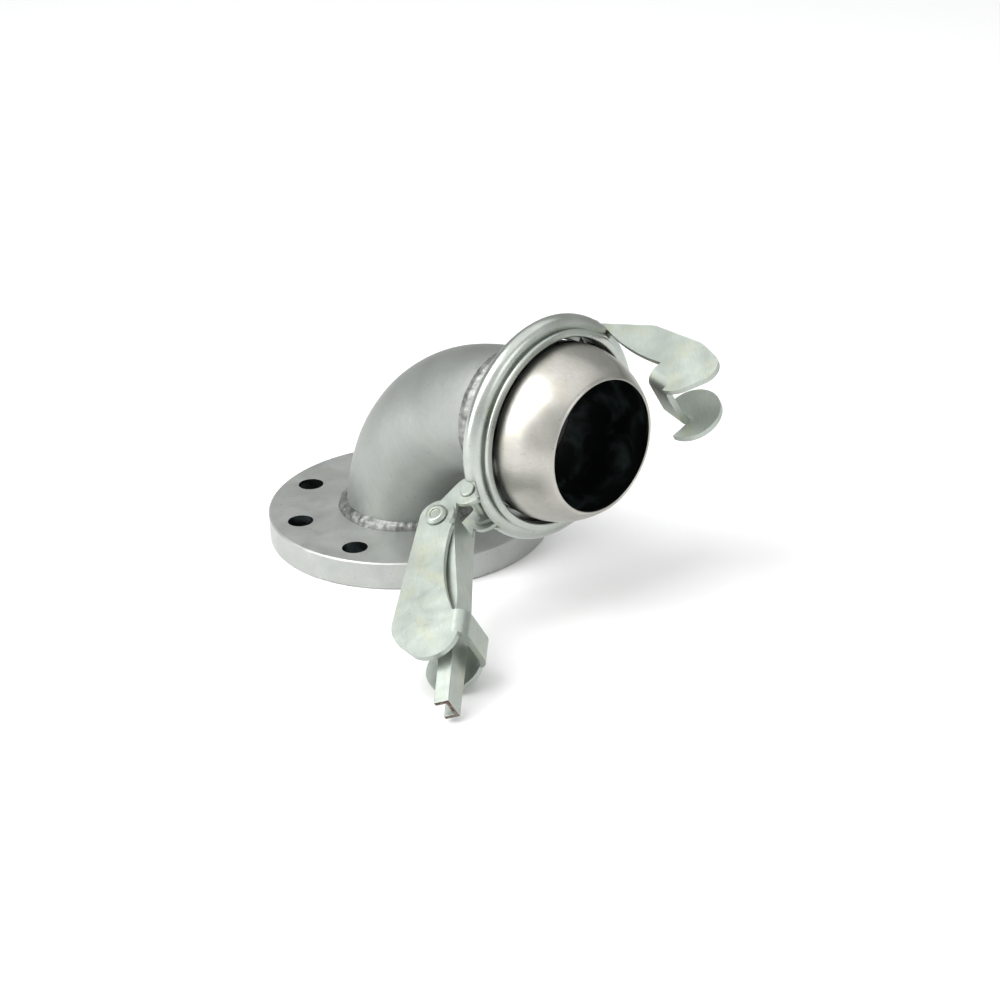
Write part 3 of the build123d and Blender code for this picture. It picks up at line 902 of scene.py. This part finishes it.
@dataclass
class BallEnd:
    """Hollow ball with its open mouth and the weld behind it, in millimetres.

    Each dent is its turn about the outlet in degrees, its tilt to the front in radians, its width
    and its depth.
    """

    wall: float = 2.6
    socket: float = 44.75
    mouth: float = 46.6
    mouth_inner: float = 44.9
    # Band along the outlet, in millimetres, painted with shade: painted shadow of the gap under the ring.
    gap_shade: Point2 = (141.6, 155.0)
    waver: float = 0.12
    wavers_to_a_metre: float = 45.0
    weld_sides: Point2 = (0.4, 0.6)
    weld_rises: Point2 = (2.6, 3.4)
    dents: ClassVar[tuple[tuple[float, float, float, float], ...]] = (
        (212.0, 0.30, 9.0, 0.35),
        (196.0, 0.05, 7.0, 0.30),
        (226.0, -0.18, 10.0, 0.25),
        (168.0, 0.20, 11.0, 0.30),
        (243.0, 0.42, 6.0, 0.20),
    )

    def arc(self, radius: float, start: float, end: float, count: int) -> list[Point2]:
        """Arc of the ball's section between two distances from the outlet axis.

        Args:
            radius: Radius of the arc.
            start: Distance of its start, negative behind the ball's centre.
            end: Distance of its end, signed in the same way.
            count: Number of straight bits.

        Returns:
            Its points as (along, radius) in metres.
        """
        begin = math.copysign(math.acos(min(1.0, abs(start) / radius)), start)
        finish = math.copysign(math.acos(min(1.0, abs(end) / radius)), end)
        points = []
        for step in range(count + 1):
            angle = begin + (finish - begin) * step / count
            along = SIZES.ball_centre + radius * math.sin(angle)
            points.append((along * MM, radius * math.cos(angle) * MM))
        return points

    def shape(self, point: Vector, _angle: float, _share: float) -> Vector:
        """Press the shallow dents into the ball's outside.

        Args:
            point: The point in metres.

        Returns:
            The moved point.
        """
        centre = Vector((SIZES.ball_centre, 0, SIZES.outlet_height)) * MM
        away = point - centre
        if away.length < (SIZES.ball_radius - self.wall / 2) * MM:
            return point
        direction = away.normalized()
        press = self.waver * noise.noise(point * self.wavers_to_a_metre)
        for turn, tilt, width, depth in self.dents:
            ray = SIZES.place(Axis.OUTLET, 0, math.cos(tilt), math.radians(turn))
            ray = Vector((math.sin(tilt), ray.y, ray.z - SIZES.outlet_height * MM)).normalized()
            distance = direction.angle(ray) * SIZES.ball_radius / width
            press -= depth * math.exp(-distance * distance * 2)
        return point + direction * press * MM

    def build(self) -> None:
        """Build and dress the ball and its weld."""
        outer = self.arc(SIZES.ball_radius, -self.socket, self.mouth, 72)
        inner = self.arc(SIZES.ball_radius - self.wall, self.mouth_inner, -self.socket, 36)
        lip = outer[-1][0]
        # The mouth's rim: how far each point lies behind the lip, and its radius.
        rim_points = ((0.2, self.mouth - 0.25), (0.0, self.mouth - 0.7),
                      (0.0, self.mouth_inner + 0.5), (0.4, self.mouth_inner))
        rim = [(lip - behind * MM, radius * MM) for behind, radius in rim_points]
        outline = outer[:-1] + rim + inner
        work = lathe(outline, Axis.OUTLET, 192, self.shape)
        edge = (outer[-2][0] + lip) / 2
        for face in work.faces:
            middle = face.calc_center_median()
            away = (middle - Vector((SIZES.ball_centre, 0, SIZES.outlet_height)) * MM).length
            # The ball's inside and the band under the ring take the painted bore shade; the band is
            # painted shadow of the gap between ring and ball.
            inside = away < (SIZES.ball_radius - self.wall * 0.6) * MM and middle.x < edge
            gap_shade = self.gap_shade[0] * MM < middle.x < self.gap_shade[1] * MM
            face.material_index = int(inside or gap_shade)
        ball = mesh_object("coupling_ball", work, [FINISHES.ball, FINISHES.bore_shade], 50.0)
        hang(ball, Body.ROOT, Slot.BALL, "ball_shell")
        self.build_weld()

    def build_weld(self) -> None:
        """Build and dress the weld behind the ball."""
        low, high = (corner.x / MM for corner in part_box("ball_weld"))
        outline = rounded([
            (low, self.socket, 0), (low + self.weld_sides[0], self.socket + self.weld_rises[0], 1.0),
            (high - self.weld_sides[1], self.socket + self.weld_rises[1], 1.0), (high, self.socket, 0),
        ])
        bead = WeldBead(Axis.OUTLET, outline, spacing=3.0, ripple=0.2, lump=0.3, seed=7.0)
        hang(bead.build("ball_root_weld"), Body.ROOT, Slot.WELD, "ball_weld")


@dataclass
class ClosureRing:
    """Pressed ring with its windows, hinge lugs and pins.

    Sizes are in millimetres, except the two edges, which are widths in metres. Each window is the
    radius of its cutter and the two ends of it along the hinge.
    """

    bead_x: float = 146.0
    bead_top: float = 77.6
    bead_radius: float = 6.8
    sheet: float = 2.8
    skirt: float = 64.0
    front: float = 157.2
    rear: float = 139.1
    seat: float = 58.5
    lip_top: float = 69.4
    lever_pin: Point2 = (138.0, 72.0)
    claw_pin: Point2 = (141.0, 67.5)
    lever_window: tuple[float, float, float] = (12.7, -28.05, 17.05)
    claw_window: tuple[float, float, float] = (9.2, 10.45, 25.25)
    neck_window: tuple[float, float, float] = (14.0, 15.5, 20.2)
    neck_room: float = 4.6
    claw_turn: float = -14.0
    waver: float = 0.2
    wavers_to_a_metre: float = 30.0
    lug_edge: float = 0.0005
    pin_edge: float = 0.0003

    def outline(self) -> list[Point2]:
        """Outline of the ring's section.

        Returns:
            The outline in metres.
        """
        left, right = self.bead_x - self.bead_radius, self.bead_x + self.bead_radius
        sheet, skirt, top = self.sheet, self.skirt, self.bead_top
        # A little under half the bead's width, so that its two rounded corners don't meet.
        crown, hollow = self.bead_radius * 0.999, self.bead_radius - sheet - 0.05
        return rounded([
            (self.rear, self.seat, 0.6), (left, top, crown), (right, top, crown),
            (right, skirt + sheet, 1.5), (self.front - sheet, skirt + sheet, 1.2),
            (self.front - sheet, self.lip_top, 1.2), (self.front, self.lip_top, 1.2),
            (self.front, skirt, 1.4), (right - sheet, skirt, 1.0), (right - sheet, top - sheet, hollow),
            (left + sheet, top - sheet, hollow), (self.rear + sheet, self.seat + 0.9, 0.6),
        ], 9)

    def shape(self, point: Vector, _angle: float, _share: float) -> Vector:
        """Let the pressed ring waver a little."""
        ray = (point - Vector((point.x, 0, SIZES.outlet_height * MM))).normalized()
        return point + ray * self.waver * MM * noise.noise(point * self.wavers_to_a_metre)

    def cutters(self) -> list[bmesh.types.BMesh]:
        """Bars that cut the hinge windows.

        Returns:
            The lever's, the claw's and the claw neck's.
        """
        lever = SIZES.station(SIZES.lever_station)
        claw = SIZES.station(SIZES.claw_station)
        turn = Matrix.Rotation(math.radians(self.claw_turn), 4, "Z")
        hinge = claw @ Matrix.Translation((self.claw_pin[0] * MM, self.claw_pin[1] * MM, 0)) @ turn
        radius, start, end = (value * MM for value in self.lever_window)
        pin = (self.lever_pin[0] * MM, self.lever_pin[1] * MM)
        cuts = [bar(lever, circle(radius, pin), start, end)]
        radius, start, end = (value * MM for value in self.claw_window)
        cuts.append(bar(hinge, circle(radius), start, end))
        radius, start, end = (value * MM for value in self.neck_window)
        half = math.asin(self.neck_room * MM / radius)
        steps = 24
        turns = [half + (math.pi - 2 * half) * step / steps for step in range(steps + 1)]
        segment = [(radius * math.cos(turn), radius * math.sin(turn)) for turn in turns]
        cuts.append(bar(hinge, segment, start, end))
        return cuts

    def paint_inside_shade(self, work: bmesh.types.BMesh) -> None:
        """Give the ring's inside faces the painted bore shade, painted shadow in the gap round the ball.

        Args:
            work: The ring's working mesh.
        """
        bmesh.ops.recalc_face_normals(work, faces=work.faces)
        for face in work.faces:
            middle = face.calc_center_median()
            away = Vector((0, middle.y, middle.z - SIZES.outlet_height * MM))
            inward = face.normal.dot(away.normalized()) < -0.1 or away.length < (self.skirt + 0.3) * MM
            within = (self.rear + 1.0) * MM < middle.x < (self.front - 0.8) * MM
            face.material_index = int(inward and within)

    def build(self) -> None:
        """Build and dress the ring, its lugs and its pins."""
        work = lathe(self.outline(), Axis.OUTLET, 240, self.shape)
        # Painted shade on the ring's inside faces.
        self.paint_inside_shade(work)
        ring = mesh_object("closure_ring_bead", work, [FINISHES.ring, FINISHES.bore_shade])
        tools = []
        for index, cut in enumerate(self.cutters()):
            tool = mesh_object(f"window_{index}", cut, [FINISHES.ring])
            modifier = ring.modifiers.new(tool.name, "BOOLEAN")
            modifier.operation = "DIFFERENCE"
            modifier.solver = "EXACT"
            modifier.object = tool
            tools.append(tool)
        applied(ring)
        for tool in tools:
            bpy.data.objects.remove(tool)
        hang(ring, Body.RING, Slot.RING, "closure_ring")
        fittings = (
            ("lever_lugs", "lever_hinge_lugs", self.lug_edge),
            ("claw_lugs", "claw_hinge_lugs", self.lug_edge),
            ("lever_pin", "lever_hinge_pin", self.pin_edge),
            ("claw_pin", "claw_hinge_pin", self.pin_edge),
        )
        for node, name, width in fittings:
            piece = softened(node, name, [FINISHES.lever], width, 2)
            hang(piece, Body.RING, Slot.LEVER, node)


@dataclass
class LeverSet:
    """Hand lever with its rivet, and the two claws.

    Sizes are in millimetres, except the edges, which are widths in metres.
    """

    lever_edge: float = 0.0010
    rivet_edge: float = 0.0008
    claw_edge: float = 0.0009
    lever_angle: float = 53.0
    lever_tip: float = 163.5
    lever_pin: Point2 = (138.0, 72.0)

    def brown_tip(self, lever: bpy.types.Object) -> None:
        """Give the sheared end of the bar its brown cut face.

        Args:
            lever: The lever's piece.
        """
        place = SIZES.station(SIZES.lever_station)
        angle = math.radians(self.lever_angle)
        along = (place.to_3x3() @ Vector((math.cos(angle), math.sin(angle), 0))).normalized()
        pin = place @ Vector((self.lever_pin[0] * MM, self.lever_pin[1] * MM, 0))
        for face in lever.data.polygons:
            if face.normal.dot(along) > 0.8 and (face.center - pin).dot(along) > self.lever_tip * MM:
                face.material_index = 1

    def build(self) -> None:
        """Build and dress the lever, the rivet, its washer and the claws."""
        lever = softened("hand_lever", "lever_bar", [FINISHES.lever, FINISHES.cut], self.lever_edge)
        self.brown_tip(lever)
        hang(lever, Body.LEVER, Slot.LEVER, "hand_lever")
        for node, name in (("claw_rivet", "claw_rivet_head"), ("rivet_washer", "claw_rivet_washer")):
            piece = softened(node, name, [FINISHES.lever], self.rivet_edge)
            hang(piece, Body.LEVER, Slot.LEVER, node)
        for node, name, body in (("lever_claw", "lever_latch_claw", Body.LEVER_CLAW),
                                 ("ring_claw", "ring_latch_claw", Body.RING_CLAW)):
            hang(softened(node, name, [FINISHES.lever], self.claw_edge), body, Slot.LEVER, node)


@dataclass(frozen=True)
class SoftBox:
    """Soft studio lamp."""

    name: str
    place: tuple[float, float, float]
    aim: tuple[float, float, float]
    size: Point2
    power: float
    colour: Colour = (1.0, 1.0, 1.0)

    def build(self) -> None:
        """Hang the lamp."""
        data = bpy.data.lights.new(self.name, "AREA")
        data.shape = "RECTANGLE"
        data.size, data.size_y = self.size
        data.energy = self.power
        data.color = self.colour
        lamp = bpy.data.objects.new(self.name, data)
        lamp.location = self.place
        lamp.rotation_euler = (Vector(self.aim) - Vector(self.place)).to_track_quat("-Z", "Y").to_euler()
        bpy.context.scene.collection.objects.link(lamp)


@dataclass
class Studio:
    """Floor, lamps, surrounding light and camera."""

    azimuth: float = 46.4735
    elevation: float = 25.2578
    roll: float = -2.6470
    eye: tuple[float, float, float] = (1.34819, -1.19047, 0.86540)
    lens: float = 100.05
    sensor: float = 36.0
    floor_size: float = 30.0
    floor_grey: float = 0.92
    sky_front: Colour = (1.0, 1.0, 1.0)
    sky_behind: Colour = (0.48, 0.49, 0.49)
    sky_strength: float = 0.82
    sky_blend: float = 0.6
    lamps: tuple[SoftBox, ...] = field(default_factory=lambda: (
        SoftBox("key_lamp", (-0.45, -1.15, 1.75), (0.1, 0.0, 0.08), (1.5, 1.5), 34.0),
        SoftBox("side_lamp", (-0.6, -1.75, 0.75), (0.14, 0.0, 0.12), (0.9, 0.9), 13.0),
        SoftBox("top_lamp", (0.0, 0.2, 2.2), (0.1, 0.0, 0.0), (2.8, 2.8), 22.0),
        SoftBox("fill_lamp", (1.9, 0.2, 0.9), (0.1, 0.0, 0.08), (0.9, 0.9), 5.0),
    ))

    def make_camera(self) -> None:
        """Stand the camera at the photograph's place."""
        azimuth, elevation, roll = (math.radians(a) for a in (self.azimuth, self.elevation, self.roll))
        level = math.cos(elevation)
        back = Vector((math.sin(azimuth) * level, -math.cos(azimuth) * level, math.sin(elevation)))
        right = Vector((math.cos(azimuth), math.sin(azimuth), 0))
        up = back.cross(right)
        turned = right * math.cos(roll) + up * math.sin(roll)
        raised = up * math.cos(roll) - right * math.sin(roll)
        data = bpy.data.cameras.new("studio_camera")
        data.lens = self.lens
        data.sensor_width = self.sensor
        camera = bpy.data.objects.new("studio_camera", data)
        aim = Matrix((turned, raised, back)).transposed().to_4x4()
        camera.matrix_world = Matrix.Translation(self.eye) @ aim
        bpy.context.scene.collection.objects.link(camera)
        bpy.context.scene.camera = camera

    def make_floor(self) -> None:
        """Lay the pale floor."""
        work = bmesh.new()
        half = self.floor_size / 2
        corners = ((-half, -half), (half, -half), (half, half), (-half, half))
        work.faces.new([work.verts.new((x, y, 0)) for x, y in corners])
        graph = Graph("floor_paper")
        tone = graph.span(graph.noise(0.6, 2.0), (0.3, 0.7), (self.floor_grey - 0.01, self.floor_grey))
        rough = graph.span(graph.noise(0.01, 2.0), (0.0, 1.0), (0.85, 0.95))
        joined = graph.add("ShaderNodeCombineColor")
        for name in ("Red", "Green", "Blue"):
            graph.link(tone, joined.inputs[name])
        paper = graph.surface(joined.outputs["Color"], rough, graph.noise(0.002, 2.0), 0.00001, 0.0)
        mesh_object("floor", work, [paper])

    def make_sky(self) -> None:
        """Surround the scene with soft light."""
        world = bpy.data.worlds.new("studio_sky")
        world.use_nodes = True
        tree = world.node_tree
        background = tree.nodes["Background"]
        background.inputs["Strength"].default_value = self.sky_strength
        place = tree.nodes.new("ShaderNodeTexCoord")
        turn = tree.nodes.new("ShaderNodeMapping")
        turn.inputs["Rotation"].default_value = (0, 0, -math.radians(self.azimuth - 90))
        tree.links.new(place.outputs["Generated"], turn.inputs["Vector"])
        split = tree.nodes.new("ShaderNodeSeparateXYZ")
        tree.links.new(turn.outputs["Vector"], split.inputs["Vector"])
        share = tree.nodes.new("ShaderNodeMapRange")
        share.interpolation_type = "SMOOTHSTEP"
        share.inputs["From Min"].default_value = -self.sky_blend
        share.inputs["From Max"].default_value = self.sky_blend
        tree.links.new(split.outputs["X"], share.inputs["Value"])
        blend = tree.nodes.new("ShaderNodeMix")
        blend.data_type = "RGBA"
        blend.inputs[MIX_FIRST].default_value = (*self.sky_behind, 1.0)
        blend.inputs[MIX_SECOND].default_value = (*self.sky_front, 1.0)
        tree.links.new(share.outputs["Result"], blend.inputs[MIX_FACTOR])
        tree.links.new(blend.outputs[MIX_RESULT], background.inputs["Color"])
        bpy.context.scene.world = world

    def build(self) -> None:
        """Set up the whole studio."""
        bpy.context.scene.view_settings.view_transform = "Standard"
        self.make_camera()
        self.make_floor()
        self.make_sky()
        for lamp in self.lamps:
            lamp.build()


def main() -> None:
    """Build the studio and every sub-assembly, in order."""
    logging.basicConfig(level=logging.INFO, format="%(message)s")
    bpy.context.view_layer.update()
    for part in (Studio(), FlangeEnd(), PipeRun(), BallEnd(), ClosureRing(), LeverSet()):
        log.info("building %s", type(part).__name__)
        part.build()


if __name__ == "__main__":
    main()
